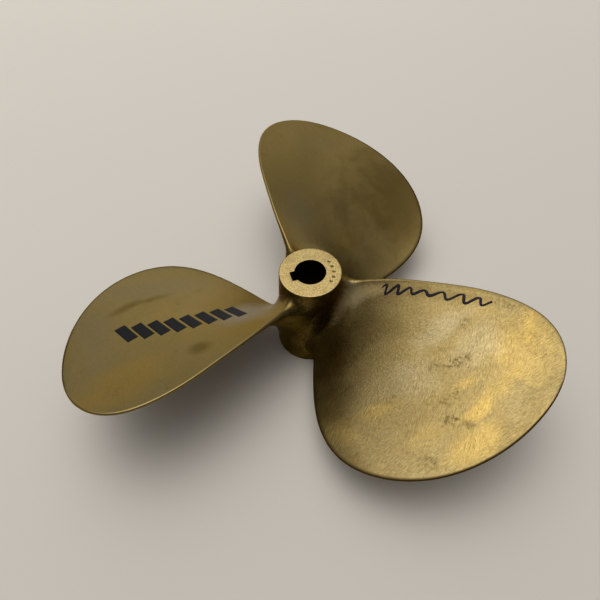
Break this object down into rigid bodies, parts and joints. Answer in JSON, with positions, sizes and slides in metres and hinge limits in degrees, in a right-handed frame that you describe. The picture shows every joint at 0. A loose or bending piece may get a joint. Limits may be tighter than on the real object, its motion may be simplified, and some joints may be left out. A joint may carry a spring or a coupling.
{
  "type": "boat propeller",
  "caption": "Cast bronze right-hand boat propeller: broad rounded blades with root fillets on a tapered hub, with a keyed 1:10 taper bore for the shaft.",
  "frame": {"origin": "centre of the hub's forward face, the larger end, on which the propeller stands", "axes": "+Z along the hub axis, aft, towards the shaft nut; +X along the reference line of blade_1"},
  "size_m": [0.3158, 0.3265, 0.0839],
  "materials": {
    "bronze_hub": "cast bronze, aft face turned bright, barrel darker",
    "bronze_blade": "ground and tarnished cast bronze",
    "marking": "thin matt black vinyl and ink"
  },
  "bodies": {
    "root": {"hub": "bronze_hub", "blade_1": "bronze_blade", "blade_2": "bronze_blade", "blade_3": "bronze_blade"}
  },
  "joints": []
}
